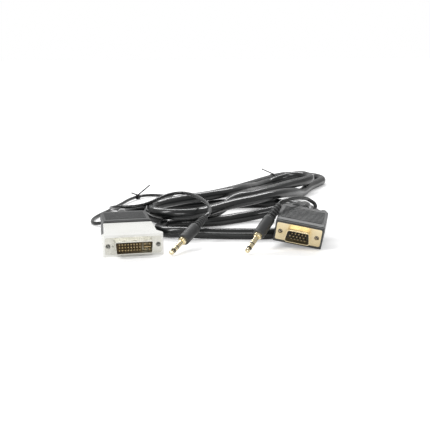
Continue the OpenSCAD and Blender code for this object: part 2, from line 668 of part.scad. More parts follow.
module cable_boot(side) {
    step = boot_l / (boot_grooves + 1);
    color([0.12, 0.12, 0.12]) translate([-side * boot_x, hood_l, hood_zc]) rotate([-90, 0, 0])
        difference() {
            union() {
                cylinder(d1 = boot_d, d2 = boot_tip_d, h = boot_l, $fn = 48);
                translate([0, 0, -rear_wall]) cylinder(d = cable_d, h = rear_wall, $fn = 48);
            }
            if (boot_grooves > 0) for (i = [1:boot_grooves]) translate([0, 0, i * step - boot_groove_w / 2])
                difference() {
                    cylinder(d = boot_d + over, h = boot_groove_w, $fn = 48);
                    translate([0, 0, -over])
                        cylinder(d = boot_tip_d - 2 * boot_groove_depth, h = boot_groove_w + 2 * over, $fn = 48);
                }
        }
}
module audio_gland(side) {
    color([0.12, 0.12, 0.12]) translate([side * gland_x, hood_l, hood_zc]) rotate([-90, 0, 0]) {
        cylinder(d1 = gland_d, d2 = gland_tip_d, h = gland_l, $fn = 48);
        translate([0, 0, -rear_wall]) cylinder(d = lead_d, h = rear_wall, $fn = 48);
    }
}

// Jack plug, in its own frame: tip at the origin, +y to the cable
module turned(points) {
    rotate([-90, 0, 0]) rotate_extrude($fn = 64) polygon(points);
}
module jack_tip() {
    r = pin_d / 2;
    color([0.92, 0.84, 0.58]) turned([
        [0, 0], [tip_flat_d / 2, 0], [tip_nose_share * r, tip_nose_at_share * tip_l],
        [tip_cone_share * r, tip_cone_at_share * tip_l], [r, tip_widest_at_share * tip_l],
        [waist_d / 2, tip_waist_at_share * tip_l], [waist_d / 2, tip_l], [0, tip_l]]);
}
module jack_bands() {
    color([0.1, 0.1, 0.1]) {
        bar_y(pin_d, tip_l, tip_l + band_l);
        bar_y(pin_d, tip_l + band_l + ring_l, tip_l + 2 * band_l + ring_l);
    }
}
module jack_ring() {
    color([0.92, 0.84, 0.58]) bar_y(pin_d, tip_l + band_l, tip_l + band_l + ring_l);
}
module jack_sleeve() {
    color([0.92, 0.84, 0.58]) bar_y(pin_d, tip_l + 2 * band_l + ring_l, pin_l);
}
module jack_collar() {
    bevel = collar_l / 4;
    color([0.92, 0.84, 0.58]) turned([
        [0, pin_l], [collar_d / 2 - bevel, pin_l], [collar_d / 2, pin_l + bevel],
        [collar_d / 2, barrel_y], [0, barrel_y]]);
}
module jack_barrel() {
    r = barrel_d / 2;
    c = barrel_d / 10;
    color([0.15, 0.15, 0.15]) turned([
        [0, barrel_y], [r - c, barrel_y], [r - c / 4, barrel_y + c / 4], [r, barrel_y + c],
        [r, relief_y - c], [r - c / 4, relief_y - c / 4], [r - c, relief_y], [0, relief_y]]);
}
module jack_relief() {
    step = relief_l / relief_ribs;
    slope = (relief_root_d - relief_tip_d) / relief_ribs;
    color([0.13, 0.13, 0.13]) {
        bar_y(relief_core_d, relief_y, relief_y + relief_l);
        for (i = [0:relief_ribs - 1])
            bar_y(relief_root_d - i * slope, relief_y + i * step, relief_y + (i + relief_fill) * step);
    }
}

// Cables and their ties
module main_cable_right_run() { color([0.14, 0.15, 0.15]) tube(right_path, cable_d, tube_sides); }
module main_cable_hank() { color([0.14, 0.15, 0.15]) tube(hank_path, cable_d, hank_sides); }
module main_cable_left_run() { color([0.14, 0.15, 0.15]) tube(left_path, cable_d, tube_sides); }
module left_audio_lead() { color([0.12, 0.12, 0.12]) tube(left_lead_path, lead_d, tube_sides); }
module right_audio_lead() { color([0.12, 0.12, 0.12]) tube(right_lead_path, lead_d, tube_sides); }
// Strip closed round a round cable of diameter d; each tail stands out at an angle from upright
module tie(d, a, b, tails) {
    mid = (a + b) / 2;
    dir = unit(b - a);
    inner_d = d + 2 * tie_play;
    translate(mid) rotate([0, 0, atan2(dir[1], dir[0]) - 90]) rotate([asin(dir[2]), 0, 0]) {
        difference() {
            bar_y(inner_d + 2 * tie_t, -tie_w / 2, tie_w / 2);
            bar_y(inner_d, -tie_w, tie_w);
        }
        for (tail = tails) translate([0, 0, inner_d / 2 + tie_t / 2])
            rotate([0, tail[0], 0]) cylinder(d = tie_wire_d, h = tail[1], $fn = 24);
    }
}
module hank_tie() {
    color([0.1, 0.1, 0.1]) tie(cable_d, tip_2[fold_steps], far_run_2[0], hank_tails);
}
module lead_tie() {
    color([0.1, 0.1, 0.1])
        tie(lead_d, left_lead_path[lead_tie_at], left_lead_path[lead_tie_at + 1], lead_tails);
}

adapter_housing();
dvi_shell();
dvi_insulator();
dvi_signal_contacts();
dvi_analog_contacts();
dvi_ground_blade();
adapter_board();
adapter_socket_shell();
adapter_socket_insulator();
adapter_socket_contacts();
adapter_hex_nuts();
place_left() plug_hood(-1);  // left_hood
place_left() plug_shell();  // left_plug_shell
place_left() plug_insulator();  // left_plug_insulator
place_left() plug_pins();  // left_plug_pins
place_left() inner_mould();  // left_inner_mould
place_left() screw(-screw_gap / 2);  // left_screw_a
place_left() screw(screw_gap / 2);  // left_screw_b
place_left() knob(-screw_gap / 2);  // left_knob_a
place_left() knob(screw_gap / 2);  // left_knob_b
place_left() clip(-screw_gap / 2);  // left_clip_a
place_left() clip(screw_gap / 2);  // left_clip_b
place_left() cable_boot(-1);  // left_cable_boot
place_left() audio_gland(-1);  // left_audio_gland
place_right() plug_hood(1);  // right_hood
place_right() plug_shell();  // right_plug_shell
place_right() plug_insulator();  // right_plug_insulator
place_right() plug_pins();  // right_plug_pins
place_right() inner_mould();  // right_inner_mould
place_right() screw(-screw_gap / 2);  // right_screw_a
place_right() screw(screw_gap / 2);  // right_screw_b
place_right() knob(-screw_gap / 2);  // right_knob_a
place_right() knob(screw_gap / 2);  // right_knob_b
place_right() clip(-screw_gap / 2);  // right_clip_a
place_right() clip(screw_gap / 2);  // right_clip_b
place_right() cable_boot(1);  // right_cable_boot
place_right() audio_gland(1);  // right_audio_gland
place_left_jack() jack_barrel();  // left_jack_barrel
place_left_jack() jack_relief();  // left_jack_relief
place_left_jack() jack_collar();  // left_jack_collar
place_left_jack() jack_sleeve();  // left_jack_sleeve
place_left_jack() jack_ring();  // left_jack_ring
place_left_jack() jack_tip();  // left_jack_tip
place_left_jack() jack_bands();  // left_jack_bands
place_right_jack() jack_barrel();  // right_jack_barrel
place_right_jack() jack_relief();  // right_jack_relief
place_right_jack() jack_collar();  // right_jack_collar
place_right_jack() jack_sleeve();  // right_jack_sleeve
place_right_jack() jack_ring();  // right_jack_ring
place_right_jack() jack_tip();  // right_jack_tip
place_right_jack() jack_bands();  // right_jack_bands
main_cable_right_run();
main_cable_hank();
main_cable_left_run();
left_audio_lead();
right_audio_lead();
hank_tie();
lead_tie();
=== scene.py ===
import json
from math import asin, atan2, cos, degrees, pi, radians, sin

import bmesh
import bpy
from mathutils import Matrix, Vector


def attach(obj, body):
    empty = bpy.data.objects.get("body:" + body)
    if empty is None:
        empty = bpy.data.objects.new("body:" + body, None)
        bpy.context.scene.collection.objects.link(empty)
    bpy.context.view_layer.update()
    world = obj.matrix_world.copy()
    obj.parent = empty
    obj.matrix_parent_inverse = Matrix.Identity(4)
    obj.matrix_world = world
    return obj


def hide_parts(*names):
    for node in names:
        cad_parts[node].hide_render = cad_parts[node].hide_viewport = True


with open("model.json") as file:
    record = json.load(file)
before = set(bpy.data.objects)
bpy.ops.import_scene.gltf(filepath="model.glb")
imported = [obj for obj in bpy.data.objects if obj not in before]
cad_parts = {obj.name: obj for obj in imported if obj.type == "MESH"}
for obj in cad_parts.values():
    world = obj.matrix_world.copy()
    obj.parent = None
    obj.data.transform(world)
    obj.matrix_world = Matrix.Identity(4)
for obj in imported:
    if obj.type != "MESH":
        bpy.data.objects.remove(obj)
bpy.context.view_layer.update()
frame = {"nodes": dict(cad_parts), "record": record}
nodes = frame["nodes"]

# The object's lengths are written in millimetres and turned into metres by MM
MM = 0.001
ROOT = "cable_and_plugs"
ADAPTER = "adapter"

# Driving sizes, the same as the model's
CABLE_D = 8.0
LEAD_D = 2.6
HOOD_W, HOOD_H, HOOD_L = 33.0, 15.4, 33.0
HOOD_ZC = HOOD_H / 2
SCREW_GAP = 24.99
ADAPTER_H, ADAPTER_L = 14.6, 36.0
ADAPTER_ZC = ADAPTER_H / 2
FRONT_Y, REAR_Y = -ADAPTER_L / 2, ADAPTER_L / 2
PLUG_STANDOFF = 0.5
BOOT_L, BOOT_X = 14.0, 2.0
GLAND_L, GLAND_X = 6.0, 5.6
PIN_L, COLLAR_L = 14.5, 2.2
BARREL_L, RELIEF_L = 16.0, 15.0
RELIEF_Y = PIN_L + COLLAR_L + BARREL_L
RELIEF_END = RELIEF_Y + RELIEF_L

# Where the right plug and the two jack plugs lie, and their angles in degrees
RIGHT_PLUG_AT, RIGHT_YAW, RIGHT_PITCH, RIGHT_ROLL = (110.5, -21.6, 2.55), -24.6, 8.3, 9
LEFT_JACK_AT, LEFT_JACK_HEADING, LEFT_JACK_RISE = (23.5, -23.9, 1.9), 47.7, 19.7
RIGHT_JACK_AT, RIGHT_JACK_HEADING, RIGHT_JACK_RISE = (73.2, -30.5, 1.9), 42, 32


def placed(at, yaw, pitch, roll):
    """The place that the model gives a tilted piece: roll first, then pitch, then yaw."""
    return (Matrix.Translation(at) @ Matrix.Rotation(radians(yaw), 4, "Z")
            @ Matrix.Rotation(radians(pitch), 4, "X") @ Matrix.Rotation(radians(roll), 4, "Y"))


LEFT_PLUG = Matrix.Translation((0, REAR_Y + PLUG_STANDOFF, 0))
RIGHT_PLUG = placed(RIGHT_PLUG_AT, RIGHT_YAW, RIGHT_PITCH, RIGHT_ROLL)
LEFT_JACK = placed(LEFT_JACK_AT, LEFT_JACK_HEADING - 90, LEFT_JACK_RISE, 0)
RIGHT_JACK = placed(RIGHT_JACK_AT, RIGHT_JACK_HEADING - 90, RIGHT_JACK_RISE, 0)

# Camera: its height, heading and lens are those that the photograph was taken with
CAM_HEADING = 12.0
CAM_DOWN = 15.6
CAM_AT = (-52.5, -521.95, 140.1)
FRAME_PX = 430
FOCAL_PX = 796
# Row of the photograph that the optical axis passes through, below the middle row
AXIS_ROW_PX = 257
SENSOR = 36.0
# Nearest and farthest that the camera sees, in metres
CLIP_NEAR, CLIP_FAR = 0.01, 20


def add_camera():
    data = bpy.data.cameras.new("camera")
    data.sensor_width = SENSOR
    data.lens = SENSOR * FOCAL_PX / FRAME_PX
    data.shift_y = (AXIS_ROW_PX - FRAME_PX / 2) / FRAME_PX
    data.clip_start = CLIP_NEAR
    data.clip_end = CLIP_FAR
    obj = bpy.data.objects.new("camera", data)
    obj.location = Vector(CAM_AT) * MM
    obj.rotation_euler = (radians(90 - CAM_DOWN), 0, -radians(CAM_HEADING))
    bpy.context.scene.collection.objects.link(obj)
    bpy.context.scene.camera = obj


add_camera()

# Materials
# Greys of the noise between which a colour or a roughness goes from its first value to its second
NOISE_LOW, NOISE_HIGH = 0.3, 0.7
NOISE_ROUGHNESS = 0.55
BLOTCH_DETAIL, GRAIN_DETAIL = 3, 5
BUMP_STRENGTH = 0.5


def node_tree(name):
    mat = bpy.data.materials.new(name)
    mat.use_nodes = True
    tree = mat.node_tree
    return mat, tree, tree.nodes["Principled BSDF"]


def noise(tree, scale, detail):
    """Noise over the object's own coordinates; scale is in waves per metre."""
    coords = tree.nodes.new("ShaderNodeTexCoord")
    tex = tree.nodes.new("ShaderNodeTexNoise")
    tex.inputs["Scale"].default_value = scale
    tex.inputs["Detail"].default_value = detail
    tex.inputs["Roughness"].default_value = NOISE_ROUGHNESS
    tree.links.new(coords.outputs["Object"], tex.inputs["Vector"])
    return tex.outputs["Fac"]


def span(tree, source, low, high, from_low=NOISE_LOW, from_high=NOISE_HIGH):
    """Maps a grey or a distance to the range low to high."""
    node = tree.nodes.new("ShaderNodeMapRange")
    node.inputs["From Min"].default_value = from_low
    node.inputs["From Max"].default_value = from_high
    node.inputs["To Min"].default_value = low
    node.inputs["To Max"].default_value = high
    tree.links.new(source, node.inputs["Value"])
    return node.outputs["Result"]


def two_tone(tree, source, dark, light):
    node = tree.nodes.new("ShaderNodeMix")
    node.data_type = "RGBA"
    node.inputs["A"].default_value = (*dark, 1)
    node.inputs["B"].default_value = (*light, 1)
    tree.links.new(source, node.inputs["Factor"])
    return node.outputs["Result"]


def bump(tree, source, depth_mm):
    node = tree.nodes.new("ShaderNodeBump")
    node.inputs["Strength"].default_value = BUMP_STRENGTH
    node.inputs["Distance"].default_value = depth_mm * MM
    tree.links.new(source, node.inputs["Height"])
    return node.outputs["Normal"]


def finish_material(name, dark, light, rough, metal=0.0, coat=0.0, grain=900, grain_depth=0.02,
                    blotch=60, spec=0.5, coat_rough=0.1):
    """A moulded or plated finish: slow colour blotches, fine grain in height and roughness."""
    mat, tree, shader = node_tree(name)
    slow = noise(tree, blotch, BLOTCH_DETAIL)
    fine = noise(tree, grain, GRAIN_DETAIL)
    links = tree.links
    links.new(two_tone(tree, span(tree, slow, 0, 1), dark, light), shader.inputs["Base Color"])
    links.new(span(tree, fine, rough[0], rough[1]), shader.inputs["Roughness"])
    links.new(bump(tree, fine, grain_depth), shader.inputs["Normal"])
    shader.inputs["Metallic"].default_value = metal
    shader.inputs["Coat Weight"].default_value = coat
    shader.inputs["Coat Roughness"].default_value = coat_rough
    shader.inputs["Specular IOR Level"].default_value = spec
    return mat


FINISHES = {
    "adapter_white": dict(dark=(0.84, 0.84, 0.8), light=(0.9, 0.9, 0.87), rough=(0.24, 0.36),
                          grain=1500, grain_depth=0.012, coat=0.25),
    "nickel": dict(dark=(0.66, 0.65, 0.58), light=(0.78, 0.77, 0.71), rough=(0.2, 0.42), metal=1,
                   grain=2600, grain_depth=0.008, blotch=150),
    "dvi_contact": dict(dark=(0.34, 0.25, 0.12), light=(0.55, 0.43, 0.24), rough=(0.25, 0.4), metal=1,
                        grain=3000, grain_depth=0.01, blotch=500),
    "dvi_insert": dict(dark=(0.15, 0.1, 0.045), light=(0.22, 0.16, 0.08), rough=(0.5, 0.7), grain=2500),
    "board": dict(dark=(0.02, 0.12, 0.06), light=(0.03, 0.18, 0.09), rough=(0.3, 0.45), grain=1800),
    "socket_insert": dict(dark=(0.02, 0.05, 0.26), light=(0.03, 0.08, 0.34), rough=(0.4, 0.55),
                          grain=2000),
    "hood_black": dict(dark=(0.038, 0.039, 0.039), light=(0.052, 0.053, 0.053), rough=(0.4, 0.56),
                       grain=1700, grain_depth=0.03, blotch=90),
    "gold_plate": dict(dark=(0.84, 0.69, 0.41), light=(0.94, 0.81, 0.55), rough=(0.24, 0.36), metal=1,
                       grain=2200, grain_depth=0.006, blotch=120),
    "plug_insert": dict(dark=(0.006, 0.006, 0.006), light=(0.012, 0.012, 0.012), rough=(0.38, 0.5),
                        grain=2500),
    "pin_gold": dict(dark=(0.42, 0.32, 0.17), light=(0.55, 0.44, 0.26), rough=(0.3, 0.45), metal=1,
                     grain=3000, grain_depth=0.005, blotch=400),
    "mould_grey": dict(dark=(0.42, 0.42, 0.4), light=(0.5, 0.5, 0.48), rough=(0.4, 0.6)),
    "screw_steel": dict(dark=(0.3, 0.25, 0.18), light=(0.45, 0.39, 0.3), rough=(0.25, 0.4), metal=1,
                        grain=2500, grain_depth=0.01, blotch=300),
    "jack_gold": dict(dark=(0.88, 0.74, 0.45), light=(0.96, 0.86, 0.6), rough=(0.14, 0.26), metal=1,
                      grain=2600, grain_depth=0.004, blotch=250),
    "jacket_black": dict(dark=(0.003, 0.004, 0.004), light=(0.008, 0.009, 0.009), rough=(0.32, 0.4),
                         grain=500, grain_depth=0.002, blotch=40, coat=0.75, coat_rough=0.13, spec=0.3),
    "dvi_face": dict(dark=(0.4, 0.37, 0.26), light=(0.5, 0.47, 0.35), rough=(0.4, 0.55), grain=2200),
    # Darker copy of nickel: painted shade inside the DVI shell's dimples
    "nickel_painted_shade": dict(dark=(0.3, 0.28, 0.22), light=(0.42, 0.4, 0.33), rough=(0.3, 0.45), metal=1,
                        grain=2600, grain_depth=0.006),
    # Lighter copy of hood_black: painted sheen on the hoods' collars and ridges
    "hood_painted_sheen": dict(dark=(0.06, 0.062, 0.062), light=(0.08, 0.082, 0.082), rough=(0.3, 0.42),
                       grain=1700, grain_depth=0.015, blotch=90),
    "tie_black": dict(dark=(0.01, 0.01, 0.01), light=(0.02, 0.02, 0.02), rough=(0.35, 0.5), grain=1800,
                      grain_depth=0.03),
}
MATS = {name: finish_material(name, **finish) for name, finish in FINISHES.items()}


def dress(obj, slot, look=None):
    """Gives a piece the finish named by a slot, or another look in its place."""
    obj.data.materials.clear()
    obj.data.materials.append(MATS[look or slot])


# Cable routes: the right run, the hank's two loops, and the left run, as the model has them
LOW_Z, HIGH_Z, TIE_Z = CABLE_D / 2, 12.6, 4.7
LEFT_FOLD, FOLD_R, OUTER_R = (47.0, 88.5), 23.5, 33.5
UPPER_FOLD, UPPER_FOLD_R = (45.0, 66.0), 22.0
INNER_TIP, INNER_TIP_R, INNER_END_Z = (164.5, 178.0), 21.0, 5.5
OUTER_TIP, OUTER_TIP_R = (187.0, 212.0), 22.0
NEAR_BOW, OUTER_NEAR_BOW, FAR_BOW, OUTER_FAR_BOW = 3.0, 15.0, 16.0, 8.0
NEAR_SHARES, FAR_SHARES = (0.1, 0.27), (0.05, 0.5)
OUTER_NEAR_SHARES, OUTER_FAR_SHARES = (0.5, 0.68), (0.2, 1)
FOLD_SHARES, DROOP_SHARES, LIFT_SHARES = (0, 1), (0.4, 1), (0.7, 1)
START_HEADING = 176.0
LEAD_IN = CABLE_D
FOLD_STEPS, RUN_STEPS = 9, 7

RIGHT_ROUTE = [
    (134, 31, 17), (134.5, 45, 14), (125, 57.5, 10), (108, 63.5, 5.8), (90, 61, 4), (70, 54, 4),
    (52, 53.5, 4), (37, 52.5, 4), (26.5, 43, 4), (27.5, 29, 4.2), (42, 19, 5), (60, 16.5, 4),
    (80, 11, 4), (100, 7.8, 4), (118, 12, 4), (134, 22.5, 4), (146, 38, 4), (152, 56, 4), (153.5, 75, 4),
    (149, 95, 4), (134, 107, 4), (117, 112, 4), (98, 115, 4), (80, 113.5, 4)]
LEFT_ROUTE = [(11, 104, 4.2), (4.5, 92.5, 5.2), (2.2, 81, 6.8), (2, 73, 7.7)]
LEFT_LEAD_ROUTE = [
    (-6.5, 64, 7), (-10, 69, 4.6), (-16, 72, 2.4), (-20, 78, 1.4), (-20, 88, 1.4), (-15, 102, 1.4),
    (-5, 119, 1.6), (7, 140, 2.2), (19, 161, 2.6), (30, 173, 2.2), (41, 176, 1.6), (51, 170, 1.4),
    (60, 160, 1.4), (63, 150, 1.4), (57, 141, 1.4), (45, 137, 1.4), (32, 134, 1.4), (19, 126, 1.4),
    (8, 116, 2.4), (-1, 106, 5.5), (-5, 94, 9), (-5, 82, 12), (-1, 72, 14.5), (7, 66.5, 15.3),
    (15, 66, 16), (23, 69, 17.4), (31, 75, 19.2), (39, 80, 20.6), (47, 80, 21.6), (53, 72, 22.2),
    (56.5, 60, 22.6), (58.5, 46, 22.6), (59.8, 32, 21.8), (58.5, 18, 19.6)]
RIGHT_LEAD_ROUTE = [(136, 18, 17.4), (138, 21.5, 20), (134, 21.5, 23.6), (126.5, 15.5, 27),
                    (117, 7.5, 28.8), (109, 1.2, 29.1)]


def ease(t):
    t = max(0.0, min(1.0, t))
    return t * t * (3 - 2 * t)


def climbed(t, shares):
    """How far a climb has come at a share of the way; it lies between a first and a last share."""
    return ease((t - shares[0]) / (shares[1] - shares[0]))


def tangent_angle(a, ra, b, rb):
    """Angle on both circles where their common tangent touches, both on its right-hand side."""
    dx, dy = b[0] - a[0], b[1] - a[1]
    return degrees(atan2(dy, dx)) - degrees(asin((rb - ra) / Vector((dx, dy)).length)) - 90


def on_fold(c, r, angle, z):
    return Vector((c[0] + r * cos(radians(angle)), c[1] + r * sin(radians(angle)), z))


def fold(c, r, a0, a1, z0, z1, shares=FOLD_SHARES):
    """Points round a fold, counter-clockwise from one angle to the other."""
    while a1 <= a0:
        a1 += 360
    return [on_fold(c, r, a0 + (a1 - a0) * i / FOLD_STEPS, z0 + (z1 - z0) * climbed(i / FOLD_STEPS, shares))
            for i in range(FOLD_STEPS + 1)]


def run(a, b, bow, shares):
    """Points between two folds: drawn sideways half way, climbing between two shares."""
    way = Vector((b.x - a.x, b.y - a.y)).normalized()
    points = []
    for i in range(1, RUN_STEPS):
        t = i / RUN_STEPS
        side = bow * sin(pi * t) ** 2
        z = a.z + (b.z - a.z) * climbed(t, shares)
        points.append(Vector((a.x + (b.x - a.x) * t + side * way.y,
                              a.y + (b.y - a.y) * t - side * way.x, z)))
    return points


def toward(angle):
    return Vector((cos(radians(angle)), sin(radians(angle)), 0))


def hank_points():
    near_1 = tangent_angle(LEFT_FOLD, FOLD_R, INNER_TIP, INNER_TIP_R)
    far_1 = tangent_angle(INNER_TIP, INNER_TIP_R, UPPER_FOLD, UPPER_FOLD_R)
    near_2 = tangent_angle(UPPER_FOLD, UPPER_FOLD_R, OUTER_TIP, OUTER_TIP_R)
    far_2 = tangent_angle(OUTER_TIP, OUTER_TIP_R, LEFT_FOLD, OUTER_R)
    fold_1 = fold(LEFT_FOLD, FOLD_R, START_HEADING - 90, near_1, LOW_Z, LOW_Z)
    tip_1 = fold(INNER_TIP, INNER_TIP_R, near_1, far_1, HIGH_Z, INNER_END_Z, DROOP_SHARES)
    fold_2 = fold(UPPER_FOLD, UPPER_FOLD_R, far_1, near_2, HIGH_Z, HIGH_Z)
    tip_2 = fold(OUTER_TIP, OUTER_TIP_R, near_2, far_2, LOW_Z, TIE_Z, LIFT_SHARES)
    last = on_fold(LEFT_FOLD, OUTER_R, far_2, LOW_Z)
    start = fold_1[0] - LEAD_IN * toward(START_HEADING)
    end = last + LEAD_IN * toward(far_2 + 90)
    return ([start] + fold_1 + run(fold_1[-1], tip_1[0], NEAR_BOW, NEAR_SHARES)
            + tip_1 + run(tip_1[-1], fold_2[0], -FAR_BOW, FAR_SHARES)
            + fold_2 + run(fold_2[-1], tip_2[0], OUTER_NEAR_BOW, OUTER_NEAR_SHARES)
            + tip_2 + run(tip_2[-1], last, -OUTER_FAR_BOW, OUTER_FAR_SHARES) + [last, end])


def chain(points):
    return [Vector(p) for p in points]


def ways_out(place, x, y, z, straight):
    """Where a cord leaves a plug or a jack, and a point straight out of it."""
    return place @ Vector((x, y, z)), place @ Vector((x, y + straight, z))


# Steps round a cord's section and between two of its points
SECTION_STEPS, CURVE_STEPS = 6, 8


def cord_curve(name, points, diameter, slot):
    """One open spline through the points, in metres, with a round bevel."""
    data = bpy.data.curves.new(name, "CURVE")
    data.dimensions = "3D"
    data.bevel_depth = diameter / 2 * MM
    data.bevel_resolution = SECTION_STEPS
    data.use_fill_caps = True
    data.resolution_u = CURVE_STEPS
    spline = data.splines.new("BEZIER")
    spline.bezier_points.add(len(points) - 1)
    for knot, p in zip(spline.bezier_points, points):
        knot.co = p * MM
        knot.handle_left_type = "AUTO"
        knot.handle_right_type = "AUTO"
    obj = bpy.data.objects.new(name, data)
    bpy.context.scene.collection.objects.link(obj)
    dress(obj, slot)
    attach(obj, ROOT)
    return obj


def smooth_length(obj):
    """Length of a curve's own line, in metres."""
    data = obj.data.copy()
    data.bevel_depth = 0
    probe = bpy.data.objects.new("probe", data)
    mesh = probe.to_mesh()
    total = sum((mesh.vertices[e.vertices[0]].co - mesh.vertices[e.vertices[1]].co).length
                for e in mesh.edges)
    probe.to_mesh_clear()
    bpy.data.objects.remove(probe)
    bpy.data.curves.remove(data)
    return total


boot_right, boot_right_out = ways_out(RIGHT_PLUG, -BOOT_X, HOOD_L + BOOT_L, HOOD_ZC, CABLE_D / 2)
boot_left, boot_left_out = ways_out(LEFT_PLUG, BOOT_X, HOOD_L + BOOT_L, HOOD_ZC, CABLE_D / 2)
gland_right, gland_right_out = ways_out(RIGHT_PLUG, GLAND_X, HOOD_L + GLAND_L, HOOD_ZC, LEAD_D)
gland_left, gland_left_out = ways_out(LEFT_PLUG, -GLAND_X, HOOD_L + GLAND_L, HOOD_ZC, LEAD_D)
relief_left, relief_left_out = ways_out(LEFT_JACK, 0, RELIEF_END, 0, LEAD_D)
relief_right, relief_right_out = ways_out(RIGHT_JACK, 0, RELIEF_END, 0, LEAD_D)

main_points = ([boot_right, boot_right_out] + chain(RIGHT_ROUTE) + hank_points() + chain(LEFT_ROUTE)
               + [boot_left_out, boot_left])
left_lead_points = ([gland_left, gland_left_out] + chain(LEFT_LEAD_ROUTE)
                    + [relief_left_out, relief_left])
right_lead_points = ([gland_right, gland_right_out] + chain(RIGHT_LEAD_ROUTE)
                     + [relief_right_out, relief_right])

main_cable = cord_curve("main_cable", main_points, CABLE_D, "jacket_black")
left_lead = cord_curve("left_lead", left_lead_points, LEAD_D, "jacket_black")
right_lead = cord_curve("right_lead", right_lead_points, LEAD_D, "jacket_black")
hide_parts("main_cable_right_run", "main_cable_hank", "main_cable_left_run")
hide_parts("left_audio_lead")
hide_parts("right_audio_lead")
smooth_length(main_cable)
smooth_length(left_lead)
smooth_length(right_lead)

# Finish of every piece that the model carries over
RECORD_SLOTS = {entry["node"]: entry["material_slot"] for entry in frame["record"]["subparts"]}
for name, obj in nodes.items():
    obj.data.materials.clear()
    obj.data.materials.append(MATS[RECORD_SLOTS[name]])

# Soft edges of the moulded and plated pieces that the model carries over
MOULDED_EDGE, PLATED_EDGE, BOOT_EDGE, JACK_COLLAR_EDGE = 0.45, 0.12, 0.3, 0.15
MOULDED_STEPS, FINE_STEPS = 3, 2
SHARP_ANGLE = 35


def soften(name, width, steps):
    mod = nodes[name].modifiers.new("soft_edges", "BEVEL")
    mod.width = width * MM
    mod.segments = steps
    mod.limit_method = "ANGLE"
    mod.angle_limit = radians(SHARP_ANGLE)
    mod.use_clamp_overlap = False
    mod.harden_normals = True


soften("adapter_housing", MOULDED_EDGE, MOULDED_STEPS)
soften("dvi_shell", PLATED_EDGE, FINE_STEPS)
for side in ("left", "right"):
    soften(side + "_hood", MOULDED_EDGE, MOULDED_STEPS)
    soften(side + "_plug_shell", PLATED_EDGE, FINE_STEPS)
    soften(side + "_cable_boot", BOOT_EDGE, FINE_STEPS)
    soften(side + "_jack_collar", JACK_COLLAR_EDGE, FINE_STEPS)


# Pieces in mesh code; their points go through a placing matrix
def mesh_piece(name, shape, place, slot, body=ROOT, smooth=True, look=None):
    bmesh.ops.recalc_face_normals(shape, faces=shape.faces)
    mesh = bpy.data.meshes.new(name)
    for vert in shape.verts:
        vert.co = (place @ vert.co) * MM
    for face in shape.faces:
        face.smooth = smooth
    shape.to_mesh(mesh)
    shape.free()
    obj = bpy.data.objects.new(name, mesh)
    bpy.context.scene.collection.objects.link(obj)
    dress(obj, slot, look)
    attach(obj, body)
    return obj


def add_loft(shape, rings):
    """Closes a skin over rings of points, with a cap on the first and the last."""
    made = [[shape.verts.new(p) for p in ring] for ring in rings]
    for a, b in zip(made, made[1:]):
        for i in range(len(a)):
            j = (i + 1) % len(a)
            shape.faces.new((a[i], a[j], b[j], b[i]))
    shape.faces.new(made[0][::-1])
    shape.faces.new(made[-1])


# Share of a rounded edge, or of a boss, that its first step takes
ROUND_SHARE = 0.3
DISC_SIDES = 24


def add_bar(shape, x0, x1, y0, y1, z0, z1, edge):
    """A bar along X whose long edges and ends are rounded by edge."""
    near = edge * ROUND_SHARE
    rings = []
    for x, inset in ((x0, edge), (x0 + near, near), (x0 + edge, 0), (x1 - edge, 0), (x1 - near, near),
                     (x1, edge)):
        ya, yb, za, zb = y0 + inset, y1 - inset, z0 + inset, z1 - inset
        e = edge / 2
        rings.append([Vector((x, ya + e, za)), Vector((x, yb - e, za)), Vector((x, yb, za + e)),
                      Vector((x, yb, zb - e)), Vector((x, yb - e, zb)), Vector((x, ya + e, zb)),
                      Vector((x, ya, zb - e)), Vector((x, ya, za + e))])
    add_loft(shape, rings)


def add_disc(shape, centre, radius_x, radius_z, y0, y1):
    """A short oblong boss along Y whose first end is rounded."""
    rings = []
    for y, share in ((y0, 1 - ROUND_SHARE), (y0 + (y1 - y0) * ROUND_SHARE, 1), (y1, 1)):
        rings.append([Vector((centre[0] + radius_x * share * cos(2 * pi * k / DISC_SIDES), y,
                              centre[1] + radius_z * share * sin(2 * pi * k / DISC_SIDES)))
                      for k in range(DISC_SIDES)])
    add_loft(shape, rings)


# Top of each hood: a raised collar at the front, then fine ridges across, both in a lighter copy of the
# hood's black that paints the sheen of light on the hood's top
TRIM_SINK, TRIM_RISE, TRIM_EDGE = 0.4, 0.4, 0.3
HOOD_COLLAR_FROM, HOOD_COLLAR_TO, HOOD_COLLAR_MARGIN = 1.4, 5.6, 0.6
RIDGES, RIDGE_FROM, RIDGE_PITCH, RIDGE_W, RIDGE_MARGIN = 10, 7.6, 2.2, 1.1, 2.2


def add_hood_strip(shape, margin, y0, y1):
    reach = HOOD_W / 2 - margin
    add_bar(shape, -reach, reach, y0, y1, HOOD_H - TRIM_SINK, HOOD_H + TRIM_RISE, TRIM_EDGE)


def trim_hood(side, place):
    collar = bmesh.new()
    add_hood_strip(collar, HOOD_COLLAR_MARGIN, HOOD_COLLAR_FROM, HOOD_COLLAR_TO)
    mesh_piece(side + "_hood_collar", collar, place, "hood_black", smooth=False, look="hood_painted_sheen")
    ridges = bmesh.new()
    for i in range(RIDGES):
        y = RIDGE_FROM + i * RIDGE_PITCH
        add_hood_strip(ridges, RIDGE_MARGIN, y, y + RIDGE_W)
    mesh_piece(side + "_hood_ridges", ridges, place, "hood_black", smooth=False, look="hood_painted_sheen")


trim_hood("left", LEFT_PLUG)
trim_hood("right", RIGHT_PLUG)

# Slotted tips of the right plug's retracted thumbscrews; each slot is a near-black bar on the screw tip,
# painted shade in the slot
SLOT_L, SLOT_W, SLOT_FROM, SLOT_TO, SLOT_EDGE, SLOT_TILT = 2.5, 0.56, 0.72, 1.2, 0.08, 35


